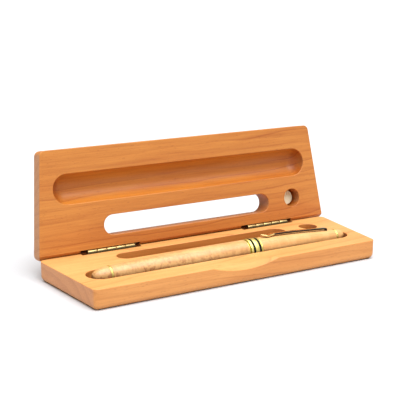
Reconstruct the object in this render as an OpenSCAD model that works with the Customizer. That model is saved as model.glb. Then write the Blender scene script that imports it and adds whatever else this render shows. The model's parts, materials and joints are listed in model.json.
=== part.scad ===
/* [Case] */
// Length of the case along its hinged rear side
case_l = 178; // [170:0.5:190]
// Depth of the case from front to rear
case_d = 56; // [54:0.5:62]
// Thickness of each half of the case
half_t = 10.5; // [10.2:0.1:12]
// How much each end of the front side is shorter than the rear side
end_taper = 6; // [0:0.5:8]
// Radius of the rounded outer edges and corners
edge_r = 3; // [1:0.25:4]
// Gap between the two halves when the case is shut
seam_gap = 0.25; // [0.2:0.05:0.5]
// Bevel along the lid's mating rear edge, which clears the base when the lid is open
lid_bevel = 3; // [2.9:0.1:3.3]
// How far the lid is opened, measured from shut
lid_open_angle = 100; // [0:1:110]

/* [Hollows] */
// Radius of the round-bottomed pen groove, cut to its own radius in each half
groove_r = 7.9; // [7.6:0.1:8]
// Half the length of the pen groove
groove_half_l = 77.9; // [77.6:0.1:79]
// Distance of the pen groove's centre line from the middle of the case
groove_y = -7.4; // [-8:0.1:-7]
// Length of the straight accessory slot behind the groove
slot_l = 103.4; // [80:0.2:108]
// Width of the accessory slot
slot_w = 10.7; // [6:0.1:11]
// Distance of the slot's centre line from the middle of the case
slot_y = 13.9; // [12.5:0.1:14.5]
// Diameter of the round recess beside the slot
recess_d = 10.4; // [6:0.1:11]
// Distance of the round recess from the middle of the case, along its length
recess_x = 68; // [66:0.5:70]
// Depth of the slot and of the round recess in the base
pocket_depth = 6.5; // [3:0.25:7]
// Diameter of the pale plug that closes the back of the lid's round hole
plug_d = 8.6; // [7:0.1:9]
// Depth of the plug's face below the lid's mating face
plug_face_depth = 5.6; // [4:0.1:6]
// Length of the finger scoop in the front edge of the base
scoop_l = 42; // [20:1:60]
// Depth of the finger scoop at the front face
scoop_drop = 3.4; // [1:0.1:4]

/* [Hinges] */
// Distance of each hinge's centre from the middle of the case
hinge_x = 49.2; // [44:0.2:60]
// Length of each hinge
hinge_l = 27; // [20:0.5:29]
// Length of the sawn kerfs that hold each hinge
kerf_l = 34; // [30:0.5:36]
// Outer radius of the hinge knuckles
knuckle_r = 1.5; // [1.2:0.05:1.55]
// Number of knuckles on each hinge
knuckle_count = 5; // [3:2:7]
// Radius of the hinge pin
hinge_pin_r = 0.6; // [0.5:0.05:0.65]
// Thickness of each hinge leaf
leaf_t = 0.8; // [0.6:0.1:0.9]
// Reach of each hinge leaf from the axis of the pin
leaf_reach = 5.2; // [4:0.1:5.6]

/* [Pen] */
// Largest radius of the wooden barrel and cap
pen_r = 6.1; // [5.8:0.1:6.2]
// Radius of the gold centre band
band_r = 6.4; // [6.2:0.1:6.5]
// Radius of the barrel and its end ring at the blind end
barrel_end_r = 4.5; // [4.4:0.1:5]
// Radius of the cap where it meets its end ring
cap_end_r = 3.8; // [3.6:0.1:4.2]
// Turn of the clip around the pen, from straight up towards the hinges
clip_turn = 2; // [0:1:35]

/* [Hidden] */

$fn = 64;
hull_fn = 32;
case_front = -case_d / 2;
case_rear = case_d / 2;

// The hinge axis lies in the seam, a little in front of the rear face.
axis_inset = 1.2;
axis_y = case_rear - axis_inset;
axis_z = half_t + seam_gap / 2;
knuckle_room_r = knuckle_r + 0.3;
kerf_t = leaf_t + 0.1;
kerf_reach = leaf_reach + 0.2;
kerf_start = 1.1;
knuckle_gap = 0.2;
pin_run_clear = 0.05;
pin_fit_clear = 0.02;
leaf_clear_r = knuckle_r + 0.35;

// The pen lies along X just below the seam, a small gap above the groove's bottom.
pen_y = groove_y;
pen_z = half_t - 1.2;

// Stations along the pen, from the barrel's tip on the left to the cap's tip on the right.
barrel_tip_x = -75;
barrel_ring_x = -66;
barrel_mouth_x = 11.6;
band_end_x = 19.9;
cap_liner_end_x = 57;
cap_ring_x = 70.2;
cap_tip_x = 76.6;
ring_w = 1;
black_ring_xs = [14, 17.6];
black_ring_w = 1;
black_ring_depth = 0.5;

// Bores and tubes inside the pen.
liner_t = 0.35;
barrel_liner_r = 4.1;
cap_liner_r = 4.2;
taper_steps = 12;

brass = "#d9b25a";
gold = "#e3b341";
case_wood = "#dd9a55";
pen_wood = "#ecd5a4";
pale_wood = "#f0d9a8";
black = "#151515";

// Mirror images at both ends or at one end only.
module both_ends() {
    children();
    mirror([1, 0, 0]) children();
}

// Swings a part from the shut position to the opened one.
module opened() {
    translate([0, axis_y, axis_z]) rotate([-lid_open_angle, 0, 0])
        translate([0, -axis_y, -axis_z]) children();
}

// A half of the case modelled as the lower one becomes the upper one, shut.
module as_upper_half() {
    translate([0, 0, 2 * axis_z]) mirror([0, 0, 1]) children();
}

// Half length of the case at depth y, less an even inset from the slanted end.
function half_length(y, inset) =
    case_l / 2 - end_taper * (case_rear - y) / case_d
    - inset * sqrt(1 + pow(end_taper / case_d, 2));

// One half of the case with its outer edges and upright corners rounded.
module half_blank() {
    hull() both_ends() for (y = [case_front + edge_r, case_rear - edge_r])
        translate([half_length(y, edge_r), y, 0]) {
            translate([0, 0, edge_r]) sphere(edge_r, $fn = hull_fn);
            translate([0, 0, edge_r]) cylinder(h = half_t - edge_r, r = edge_r, $fn = hull_fn);
        }
}

// Bevel on the lid's mating rear edge.
module lid_bevel_cut() {
    translate([-case_l, 0, 0]) rotate([90, 0, 90])
        linear_extrude(2 * case_l)
            polygon([
                [case_rear - lid_bevel, half_t],
                [case_rear + 1, half_t - lid_bevel - 1],
                [case_rear + 1, half_t + 1],
                [case_rear - lid_bevel, half_t + 1]
            ]);
}

// Round-ended, round-bottomed groove that holds half of the pen.
module pen_groove_cut() {
    straight = groove_half_l - groove_r;
    translate([-straight, groove_y, half_t]) rotate([0, 90, 0])
        cylinder(h = 2 * straight, r = groove_r);
    both_ends() translate([straight, groove_y, half_t]) sphere(groove_r);
}

// Round-ended slot from z = low up through the mating face.
module slot_cut(low) {
    straight = (slot_l - slot_w) / 2;
    translate([0, slot_y, low]) {
        both_ends() translate([straight, 0, 0]) cylinder(h = half_t - low + 1, d = slot_w);
        translate([-straight, -slot_w / 2, 0]) cube([2 * straight, slot_w, half_t - low + 1]);
    }
}

recess_y = slot_y - 0.7;

module recess_cut(low) {
    translate([recess_x, recess_y, low]) cylinder(h = half_t - low + 1, d = recess_d);
}

// Depth of the wide part of the lid's round hole, which leaves a dark ring around the plug.
lid_hole_depth = 7.6;
plug_fit_clear = 0.05;

// Stepped hole through the lid: wide at the mating face, and the plug's own size behind.
module lid_hole_cut() {
    recess_cut(half_t - lid_hole_depth);
    translate([recess_x, recess_y, -1])
        cylinder(h = half_t, d = plug_d + 2 * plug_fit_clear);
}

// Wide shallow dip in the front edge, cut by a large cylinder tilted down to the front.
module finger_scoop_cut() {
    scoop_r = (pow(scoop_l / 2, 2) + pow(scoop_drop, 2)) / (2 * scoop_drop);
    scoop_tilt = 24;
    translate([0, case_front, half_t - scoop_drop]) rotate([scoop_tilt, 0, 0])
        translate([0, -6, scoop_r]) rotate([-90, 0, 0])
            cylinder(h = 26, r = scoop_r, $fn = 128);
}

// Sawn kerfs for the leaves and a round channel for the knuckles, at both hinges.
module hinge_seat_cut() {
    for (side = [-1, 1]) translate([side * hinge_x - kerf_l / 2, axis_y, axis_z]) {
        rotate([0, 90, 0]) cylinder(h = kerf_l, r = knuckle_room_r);
        rotate([45, 0, 0]) translate([0, -kerf_reach, -kerf_t / 2])
            cube([kerf_l, kerf_reach - kerf_start, kerf_t]);
    }
}

module base_body() {
    color(case_wood) difference() {
        half_blank();
        pen_groove_cut();
        slot_cut(half_t - pocket_depth);
        recess_cut(half_t - pocket_depth);
        finger_scoop_cut();
        hinge_seat_cut();
    }
}

module lid_body() {
    color(case_wood) opened() as_upper_half() difference() {
        half_blank();
        lid_bevel_cut();
        pen_groove_cut();
        slot_cut(-1);
        lid_hole_cut();
        hinge_seat_cut();
    }
}

// Round peg, flush with the lid's outer face, with a slightly rounded rim at its inner end.
module lid_round_plug() {
    rim = 0.4;
    plug_h = half_t - plug_face_depth;
    color(pale_wood) opened() as_upper_half() translate([recess_x, recess_y, 0])
        rotate_extrude() polygon([
            [0, 0], [plug_d / 2, 0], [plug_d / 2, plug_h - rim],
            [plug_d / 2 - rim, plug_h], [0, plug_h]
        ]);
}

// Comb-shaped plate of one leaf, whose teeth run into the walls of its knuckles.
module leaf_plate(first, pitch, knuckle_l) {
    tooth_end = (knuckle_r + hinge_pin_r) / 2;
    translate([0, 0, -leaf_t / 2]) linear_extrude(leaf_t) {
        translate([0, -leaf_reach]) square([hinge_l, leaf_reach - leaf_clear_r]);
        for (i = [first : 2 : knuckle_count - 1]) translate([i * pitch, -leaf_reach])
            square([knuckle_l, leaf_reach - tooth_end]);
    }
}

// One leaf with every second knuckle, its plate reaching down and forward from the axis.
module hinge_leaf(first, bore_r) {
    pitch = (hinge_l + knuckle_gap) / knuckle_count;
    knuckle_l = pitch - knuckle_gap;
    color(brass) {
        rotate([45, 0, 0]) difference() {
            union() {
                leaf_plate(first, pitch, knuckle_l);
                for (i = [first : 2 : knuckle_count - 1]) translate([i * pitch, 0, 0])
                    rotate([0, 90, 0]) cylinder(h = knuckle_l, r = knuckle_r);
            }
            translate([-1, 0, 0]) rotate([0, 90, 0]) cylinder(h = hinge_l + 2, r = bore_r);
        }
    }
}

module at_hinge(side) {
    translate([side * hinge_x - hinge_l / 2, axis_y, axis_z]) children();
}

module base_leaf(side) {
    at_hinge(side) hinge_leaf(0, hinge_pin_r + pin_fit_clear);
}

module lid_leaf(side) {
    opened() at_hinge(side) mirror([0, 0, 1]) hinge_leaf(1, hinge_pin_r + pin_run_clear);
}

module hinge_pin(side) {
    color(brass) at_hinge(side) rotate([0, 90, 0]) cylinder(h = hinge_l, r = hinge_pin_r);
}

module hinge_left_base_leaf() { base_leaf(-1); }
module hinge_left_lid_leaf() { lid_leaf(-1); }
module hinge_left_pin() { hinge_pin(-1); }
module hinge_right_base_leaf() { base_leaf(1); }
module hinge_right_lid_leaf() { lid_leaf(1); }
module hinge_right_pin() { hinge_pin(1); }

// Lays a shape turned about Z along the pen, with its Z becoming X.
module on_pen_axis() {
    translate([0, pen_y, pen_z]) rotate([0, 90, 0]) children();
}

// Turned shape along the pen, outlined by [radius, station] points.
module turned(outline) {
    on_pen_axis() rotate_extrude() polygon(outline);
}

// Tube or solid rod along the pen between two stations.
module pen_tube(x0, x1, outer, inner = 0) {
    turned([[inner, x0], [outer, x0], [outer, x1], [inner, x1]]);
}

// Radius that swells from end_r at station end_x to full_r at station full_x.
function swell(x, end_x, full_x, end_r, full_r) =
    end_r + (full_r - end_r) * sin(90 * (x - end_x) / (full_x - end_x));

function barrel_r(x) = swell(x, barrel_ring_x + ring_w / 2, 0, barrel_end_r, pen_r);
function cap_r(x) = swell(x, cap_ring_x, band_end_x, cap_end_r, pen_r);

module pen_barrel_wood() {
    x0 = barrel_ring_x + ring_w / 2;
    step = -x0 / taper_steps;
    color(pen_wood) turned(concat(
        [for (i = [0 : taper_steps]) [barrel_r(x0 + i * step), x0 + i * step]],
        [[pen_r - 0.05, barrel_mouth_x], [barrel_liner_r, barrel_mouth_x], [barrel_liner_r, x0]]
    ));
}

module pen_barrel_liner() {
    color(brass) pen_tube(barrel_ring_x + ring_w / 2, barrel_mouth_x, barrel_liner_r,
        barrel_liner_r - liner_t);
}

// Half-round ring around a spigot, with the spigot plugging the liner behind it.
module end_ring(x, r, spigot_x, spigot_r, hole_r) {
    bulge = 0.15;
    color(gold) union() {
        turned([
            [hole_r, x - ring_w / 2], [r, x - ring_w / 2], [r + bulge, x - ring_w / 4],
            [r + bulge, x + ring_w / 4], [r, x + ring_w / 2], [hole_r, x + ring_w / 2]
        ]);
        pen_tube(min(x, spigot_x), max(x, spigot_x), spigot_r, hole_r);
    }
}

spigot_r = barrel_liner_r - liner_t;
cap_spigot_r = 2.6;
finial_stem_r = 1.8;

module pen_barrel_end_ring() {
    end_ring(barrel_ring_x, barrel_end_r + 0.1, barrel_ring_x + 7, spigot_r, finial_stem_r);
}

// Blunt turned finial with a stem that plugs into its ring.
function finial_points(base_x, tip_x, base_r, tip_r) = [
    for (i = [0 : 8]) [
        tip_r + (base_r - tip_r) * sqrt(1 - pow(i / 8, 2)),
        base_x + (tip_x - base_x) * i / 8
    ]
];

module finial(base_x, tip_x, base_r, tip_r, stem_x) {
    color(pen_wood) turned(concat(
        [[0, stem_x], [finial_stem_r, stem_x], [finial_stem_r, base_x]],
        finial_points(base_x, tip_x, base_r, tip_r), [[0, tip_x]]
    ));
}

module pen_barrel_finial() {
    finial(barrel_ring_x - ring_w / 2, barrel_tip_x, barrel_end_r, 1.2, barrel_ring_x + 6);
}

// Sleeve pressed into the barrel's mouth, which the grip section screws into.
module pen_barrel_coupler() {
    color(gold) union() {
        pen_tube(barrel_mouth_x - 9, barrel_mouth_x, spigot_r, spigot_r - 0.5);
        pen_tube(barrel_mouth_x, barrel_mouth_x + 0.8, pen_r - 0.1, spigot_r - 0.5);
    }
}

grip_start_x = barrel_mouth_x + 0.8;
grip_end_x = grip_start_x + 19;

// Black grip with a stub that screws into the barrel and a flared lip at the nib.
module pen_grip_section() {
    stub_r = spigot_r - 0.5;
    color(black) turned([
        [1.6, barrel_mouth_x - 8], [stub_r, barrel_mouth_x - 8], [stub_r, grip_start_x],
        [3.7, grip_start_x], [3.55, grip_start_x + 5], [3.3, grip_end_x - 6],
        [3.2, grip_end_x - 2], [3.5, grip_end_x - 1], [3.5, grip_end_x - 0.4],
        [3.3, grip_end_x], [2.6, grip_end_x], [2.6, grip_end_x - 12], [1.6, grip_end_x - 12]
    ]);
}

nib_l = 20;
nib_r = 2.5;
nib_t = 0.3;
nib_end_x = grip_end_x + nib_l;

// Curved steel nib, pointed at the tip, with a breather hole and a slit.
module pen_nib() {
    color(gold) on_pen_axis() difference() {
        intersection() {
            translate([0, 0, grip_end_x - 8]) difference() {
                cylinder(h = nib_l + 8, r = nib_r);
                translate([0, 0, -1]) cylinder(h = nib_l + 10, r = nib_r - nib_t);
            }
            translate([-nib_r - 1, 0, 0]) rotate([90, 0, 90]) linear_extrude(nib_r + 0.2)
                polygon([
                    [-nib_r, grip_end_x - 8], [nib_r, grip_end_x - 8], [nib_r, grip_end_x + 8],
                    [0.25, nib_end_x], [-0.25, nib_end_x], [-nib_r, grip_end_x + 8]
                ]);
        }
        translate([-nib_r - 1, 0, grip_end_x + 8]) rotate([0, 90, 0])
            cylinder(h = 2, r = 0.6);
        translate([-nib_r - 1, -0.06, grip_end_x + 8]) cube([2, 0.12, nib_l]);
    }
}

// Black feed under the nib, tapering to the tip, with an ink channel hidden inside.
module pen_feed() {
    feed_r = nib_r - nib_t - 0.05;
    color(black) turned([
        [0, grip_end_x - 11.5], [1.5, grip_end_x - 11.5], [1.5, grip_end_x - 8],
        [feed_r, grip_end_x - 8], [feed_r, grip_end_x + 3], [1.1, grip_end_x + 11],
        [0.5, grip_end_x + 15], [0, grip_end_x + 15]
    ]);
}

// Sealed plastic cartridge with a narrow neck, pushed into the grip's stub.
module pen_ink_cartridge() {
    neck_x = barrel_mouth_x - 8;
    cartridge_r = spigot_r - 0.2;
    color("#22407a") turned([
        [0, neck_x - 36], [cartridge_r - 0.5, neck_x - 36], [cartridge_r, neck_x - 35.5],
        [cartridge_r, neck_x - 3], [1.5, neck_x - 1.6], [1.5, neck_x + 3], [0, neck_x + 3]
    ]);
}

// Frame of the clip: the pen's axis along X, and Z turned to where the clip is.
module at_clip() {
    translate([0, pen_y, pen_z]) rotate([-clip_turn, 0, 0]) children();
}

// Window in the cap's wall that takes the clip's root.
module clip_root_cut() {
    at_clip() translate([clip_root_x - 0.05, -clip_w / 2 - 0.05, cap_spigot_r - 0.6])
        cube([clip_t + 0.1, clip_w + 0.1, 4]);
}

module pen_cap_wood() {
    step = (cap_ring_x - band_end_x) / taper_steps;
    color(pen_wood) difference() {
        turned(concat(
            [for (i = [0 : taper_steps]) [cap_r(band_end_x + i * step), band_end_x + i * step]],
            [
                [cap_spigot_r, cap_ring_x], [cap_spigot_r, cap_liner_end_x],
                [cap_liner_r, cap_liner_end_x], [cap_liner_r, band_end_x]
            ]
        ));
        clip_root_cut();
    }
}

module pen_cap_liner() {
    color(brass)
        pen_tube(band_end_x - 6, cap_liner_end_x, cap_liner_r, cap_liner_r - liner_t);
}

// Gold band at the cap's mouth with a square groove for each black ring.
module pen_centre_band() {
    band_x = grip_start_x + 0.15;
    bore_r = cap_liner_r + 0.02;
    color(gold) difference() {
        turned([
            [bore_r, band_x], [band_r - 0.25, band_x], [band_r, band_x + 0.3],
            [band_r, band_end_x - 0.3], [band_r - 0.25, band_end_x], [bore_r, band_end_x]
        ]);
        for (x = black_ring_xs)
            pen_tube(x, x + black_ring_w, band_r + 1, band_r - black_ring_depth);
    }
}

module pen_band_black_rings() {
    color(black) for (x = black_ring_xs)
        pen_tube(x, x + black_ring_w, band_r - 0.05, band_r - black_ring_depth);
}

// Plastic inner cap that seals around the grip's lip.
module pen_inner_cap() {
    inner_r = cap_liner_r - liner_t;
    color("#30302e") turned([
        [inner_r - 0.2, grip_end_x - 4], [inner_r, grip_end_x - 4], [inner_r, nib_end_x + 3],
        [0, nib_end_x + 3], [0, nib_end_x + 2], [inner_r - 0.8, nib_end_x + 2],
        [inner_r - 0.8, grip_end_x + 1], [inner_r - 0.2, grip_end_x + 0.4]
    ]);
}

module pen_cap_end_ring() {
    end_ring(cap_ring_x + ring_w / 2, cap_end_r + 0.1, cap_ring_x - 6, cap_spigot_r,
        finial_stem_r);
}

module pen_cap_finial() {
    finial(cap_ring_x + ring_w, cap_tip_x, cap_end_r - 0.1, 1.2, cap_ring_x - 3);
}

// Set screw inside the cap's end ring, which draws the finial and the clip's root down.
module pen_cap_finial_screw() {
    color("silver") union() {
        pen_tube(cap_ring_x - 10, cap_ring_x - 3, finial_stem_r - 0.1);
        pen_tube(cap_ring_x - 10, cap_ring_x - 7, cap_spigot_r - 0.2);
    }
}

clip_free_x = 21.6;
clip_spoon_end_x = 29.5;
clip_root_x = 64.6;
clip_w = 2.2;
clip_t = 0.9;
clip_gap = 0.6;
clip_steps = 10;

// Height of the clip's underside above the pen's axis: an even gap above the cap.
function clip_under(x) = cap_r(x) + clip_gap;

// Stations along the clip's bar, from its root to its spoon.
clip_xs = [for (i = [0 : clip_steps])
    clip_root_x + (clip_spoon_end_x - clip_root_x) * i / clip_steps];

// Side outline of the clip as [station, height above the pen's axis].
clip_side = concat(
    [[clip_root_x + clip_t, cap_spigot_r + 0.1]],
    [[clip_root_x + clip_t, clip_under(clip_root_x) + 0.4 * clip_t]],
    [[clip_root_x + 0.5 * clip_t, clip_under(clip_root_x) + 0.9 * clip_t]],
    [for (x = clip_xs) [x, clip_under(x) + clip_t]],
    [
        [clip_free_x + 5, 7.1], [clip_free_x + 2.5, 7.3], [clip_free_x, 7.9],
        [clip_free_x, 7.3], [clip_free_x + 2.5, 6.5], [clip_free_x + 4, 6.3],
        [clip_free_x + 6, 6.3]
    ],
    [for (i = [clip_steps : -1 : 0]) [clip_xs[i], clip_under(clip_xs[i])]],
    [[clip_root_x, cap_spigot_r + 0.1]]
);

// Plan outline of the clip: a narrow bar that widens to a rounded spoon at its free end.
module clip_plan() {
    translate([clip_spoon_end_x - 1, -clip_w / 2])
        square([clip_root_x + 3 - clip_spoon_end_x, clip_w]);
    polygon([
        [clip_free_x, -1], [clip_free_x + 1.2, -1.6], [clip_free_x + 4, -1.9],
        [clip_free_x + 6, -1.7], [clip_spoon_end_x, -clip_w / 2],
        [clip_spoon_end_x, clip_w / 2], [clip_free_x + 6, 1.7],
        [clip_free_x + 4, 1.9], [clip_free_x + 1.2, 1.6], [clip_free_x, 1]
    ]);
}

module pen_clip() {
    color(gold) at_clip() intersection() {
        translate([0, 3, 0]) rotate([90, 0, 0]) linear_extrude(6) polygon(clip_side);
        linear_extrude(12) clip_plan();
    }
}

base_body();
lid_body();
lid_round_plug();
hinge_left_base_leaf();
hinge_left_lid_leaf();
hinge_left_pin();
hinge_right_base_leaf();
hinge_right_lid_leaf();
hinge_right_pin();
pen_barrel_wood();
pen_barrel_liner();
pen_barrel_end_ring();
pen_barrel_finial();
pen_barrel_coupler();
pen_grip_section();
pen_nib();
pen_feed();
pen_ink_cartridge();
pen_cap_wood();
pen_cap_liner();
pen_centre_band();
pen_band_black_rings();
pen_inner_cap();
pen_clip();
pen_cap_end_ring();
pen_cap_finial();
pen_cap_finial_screw();
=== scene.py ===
"""A hinged wooden case for one fountain pen, standing open with the pen lying in it."""
import json
import math

import bmesh
import bpy
from mathutils import Matrix, Vector


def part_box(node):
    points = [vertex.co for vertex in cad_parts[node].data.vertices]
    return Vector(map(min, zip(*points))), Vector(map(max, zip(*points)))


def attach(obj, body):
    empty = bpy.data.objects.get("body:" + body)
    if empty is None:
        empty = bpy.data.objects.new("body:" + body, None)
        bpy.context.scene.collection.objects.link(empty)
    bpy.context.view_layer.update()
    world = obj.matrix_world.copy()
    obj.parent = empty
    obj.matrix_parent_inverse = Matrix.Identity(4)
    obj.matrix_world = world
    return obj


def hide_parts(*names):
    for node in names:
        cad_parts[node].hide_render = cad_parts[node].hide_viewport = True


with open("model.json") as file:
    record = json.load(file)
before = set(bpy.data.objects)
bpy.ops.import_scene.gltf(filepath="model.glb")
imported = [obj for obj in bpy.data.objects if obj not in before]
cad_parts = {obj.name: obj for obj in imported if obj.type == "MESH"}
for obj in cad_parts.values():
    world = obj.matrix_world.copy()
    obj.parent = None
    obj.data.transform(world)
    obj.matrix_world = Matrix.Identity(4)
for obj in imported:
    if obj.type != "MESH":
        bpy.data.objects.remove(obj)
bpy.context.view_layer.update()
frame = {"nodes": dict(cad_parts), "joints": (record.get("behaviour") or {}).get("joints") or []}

MM = 0.001
TAU = 2 * math.pi

# ---------------------------------------------------------------- sizes from the frame

JOINTS = {joint["name"]: joint for joint in frame["joints"]}
HINGE_Y, HINGE_Z = JOINTS["lid_hinge"]["pos_m"][1:]
OPEN_ANGLE = math.radians(JOINTS["lid_hinge"]["range_deg"][1])

BASE_LOW, BASE_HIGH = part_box("base_body")
FRONT, REAR, HALF_T = BASE_LOW.y, BASE_HIGH.y, BASE_HIGH.z
HALF_LENGTH = 89 * MM
END_TAPER = 6 * MM
EDGE_R = 3 * MM
SOFT_R = 0.35 * MM
LID_BEVEL = 3 * MM

GROOVE_R = 7.9 * MM
GROOVE_HALF = 77.9 * MM
SLOT_R = 5.35 * MM
SLOT_HALF = 51.7 * MM
SLOT_Y = 13.9 * MM
RECESS_R = 5.2 * MM
RECESS_X = 68 * MM
RECESS_Y = 13.2 * MM
POCKET_FLOOR = HALF_T - 6.5 * MM
LID_HOLE_FLOOR = HALF_T - 7.6 * MM
LIP_R = 0.4 * MM
POCKET_FILLET = 0.9 * MM
ROUND_STEPS = 28
# Middle along X and half length of the straight part, for stadium_ring.
GROOVE_SPAN = (0, GROOVE_HALF - GROOVE_R)
SLOT_SPAN = (0, SLOT_HALF - SLOT_R)
RECESS_SPAN = (RECESS_X, 0)

PLUG_LOW, PLUG_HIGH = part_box("lid_round_plug")
PLUG_R = (PLUG_HIGH.x - PLUG_LOW.x) / 2
PLUG_TOP = HALF_T - 5.6 * MM
PLUG_FIT = 0.05 * MM

SCOOP_LENGTH = 42 * MM
SCOOP_DROP = 3.4 * MM
SCOOP_TILT = math.radians(24)

HINGE_LOW, HINGE_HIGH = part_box("hinge_right_pin")
HINGE_X = (HINGE_LOW.x + HINGE_HIGH.x) / 2
HINGE_LENGTH = HINGE_HIGH.x - HINGE_LOW.x
HINGE_PIN_R = (HINGE_HIGH.z - HINGE_LOW.z) / 2
KNUCKLE_R = 1.5 * MM
KNUCKLE_COUNT = 5
KNUCKLE_GAP = 0.2 * MM
LEAF_T = 0.8 * MM
LEAF_REACH = 5.2 * MM
LEAF_CLEAR = 0.35 * MM
TOOTH_INSET = 0.35 * MM
TOOTH_OVERLAP = 0.5 * MM
KERF_LENGTH = 34 * MM
KERF_T = 0.9 * MM
KERF_REACH = 5.4 * MM
KNUCKLE_ROOM_R = 1.8 * MM

BARREL_LOW, BARREL_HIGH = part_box("pen_barrel_wood")
PEN_Y = (BARREL_LOW.y + BARREL_HIGH.y) / 2
PEN_Z = (BARREL_LOW.z + BARREL_HIGH.z) / 2
PEN_R = (BARREL_HIGH.y - BARREL_LOW.y) / 2
CLIP_TURN = math.radians(2)


def node_span(node):
    """Lowest and highest place of a CAD node along X."""
    low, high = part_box(node)
    return low.x, high.x


def node_radius(node):
    """Largest radius of a turned CAD node."""
    low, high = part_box(node)
    return (high.z - low.z) / 2


# ---------------------------------------------------------------- node graph helpers


class Graph:
    """A material's node tree, with short calls for the nodes used here."""

    def __init__(self, name):
        self.material = bpy.data.materials.new(name)
        self.material.use_nodes = True
        self.tree = self.material.node_tree
        self.tree.nodes.clear()
        self.shader = self.node("ShaderNodeBsdfPrincipled")
        output = self.node("ShaderNodeOutputMaterial")
        self.link(self.shader.outputs["BSDF"], output.inputs["Surface"])
        self.place = self.node("ShaderNodeTexCoord")

    def node(self, kind, **settings):
        made = self.tree.nodes.new(kind)
        for key, value in settings.items():
            setattr(made, key, value)
        return made

    def link(self, source, target):
        self.tree.links.new(source, target)

    def put(self, target, value):
        """Links a socket or sets a plain value."""
        if isinstance(value, bpy.types.NodeSocket):
            self.link(value, target)
        else:
            target.default_value = value

    def math(self, operation, *values):
        made = self.node("ShaderNodeMath", operation=operation)
        for socket, value in zip(made.inputs, values):
            self.put(socket, value)
        return made.outputs[0]

    def split(self, vector):
        made = self.node("ShaderNodeSeparateXYZ")
        self.link(vector, made.inputs[0])
        return made.outputs

    def join(self, x, y, z):
        made = self.node("ShaderNodeCombineXYZ")
        for socket, value in zip(made.inputs, (x, y, z)):
            self.put(socket, value)
        return made.outputs[0]

    def stretched(self, vector, scale):
        """The vector with each axis multiplied, in features per metre."""
        made = self.node("ShaderNodeMapping")
        self.link(vector, made.inputs["Vector"])
        made.inputs["Scale"].default_value = scale
        return made.outputs[0]

    def noise(self, vector, scale, detail=2.0, roughness=0.5, distortion=0.0):
        made = self.node("ShaderNodeTexNoise")
        self.link(self.stretched(vector, scale), made.inputs["Vector"])
        made.inputs["Scale"].default_value = 1.0
        made.inputs["Detail"].default_value = detail
        made.inputs["Roughness"].default_value = roughness
        made.inputs["Distortion"].default_value = distortion
        return made.outputs["Fac"]

    def voronoi(self, vector, scale):
        made = self.node("ShaderNodeTexVoronoi")
        self.link(self.stretched(vector, scale), made.inputs["Vector"])
        made.inputs["Scale"].default_value = 1.0
        return made.outputs["Distance"]

    def remap(self, value, low, high, to_low=0.0, to_high=1.0):
        made = self.node("ShaderNodeMapRange", interpolation_type="SMOOTHSTEP")
        for socket, number in zip(made.inputs, (value, low, high, to_low, to_high)):
            self.put(socket, number)
        return made.outputs[0]

    def mix(self, factor, first, second, blend="MIX"):
        made = self.node("ShaderNodeMix", data_type="RGBA", blend_type=blend)
        self.put(made.inputs["Factor"], factor)
        self.put(made.inputs[6], (*first, 1) if isinstance(first, tuple) else first)
        self.put(made.inputs[7], (*second, 1) if isinstance(second, tuple) else second)
        return made.outputs[2]

    def bump(self, height, strength, distance):
        made = self.node("ShaderNodeBump")
        made.inputs["Strength"].default_value = strength
        made.inputs["Distance"].default_value = distance
        self.link(height, made.inputs["Height"])
        return made.outputs[0]

    def set(self, **values):
        """Sets the shader's sockets by name, with underscores for spaces."""
        for key, value in values.items():
            name = key.replace("_", " ")
            if isinstance(value, tuple) and len(value) == 3 and "Color" in name:
                value = (*value, 1)
            self.put(self.shader.inputs[name], value)


# ---------------------------------------------------------------- wood


def growth_rings(g, place, pith, lean, spacing, waviness):
    """Saw-toothed growth rings around a leaning pith that runs roughly along X."""
    x, y, z = g.split(place)
    drift_y = g.math("MULTIPLY", g.math("SUBTRACT", g.noise(place, (9, 30, 30)), 0.5), waviness)
    drift_z = g.math("MULTIPLY", g.math("SUBTRACT", g.noise(place, (14, 45, 45)), 0.5), waviness)
    away_y = g.math("ADD", g.math("SUBTRACT", y, pith[0]), drift_y)
    away_z = g.math("ADD", g.math("SUBTRACT", z, pith[1]), drift_z)
    lean_y = g.math("MULTIPLY_ADD", x, lean[0], away_y)
    lean_z = g.math("MULTIPLY_ADD", x, lean[1], away_z)
    squares = g.math("ADD", g.math("MULTIPLY", lean_y, lean_y), g.math("MULTIPLY", lean_z, lean_z))
    radius = g.math("DIVIDE", g.math("SQRT", squares), spacing)
    uneven = g.math("MULTIPLY_ADD", g.noise(place, (6, 20, 20)), 1.6, radius)
    return g.math("FRACT", uneven)


END_GRAIN_DEEP, END_GRAIN_LIGHT = (0.56, 0.250, 0.105), (0.68, 0.345, 0.165)
END_GRAIN_RING = (0.40, 0.16, 0.075)
# Painted shade colours for the end walls of pockets and for the hinge seats.
POCKET_END_SHADE = (0.80, 0.66, 0.52)
HINGE_SEAT_SHADE = (0.13, 0.05, 0.03)


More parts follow.
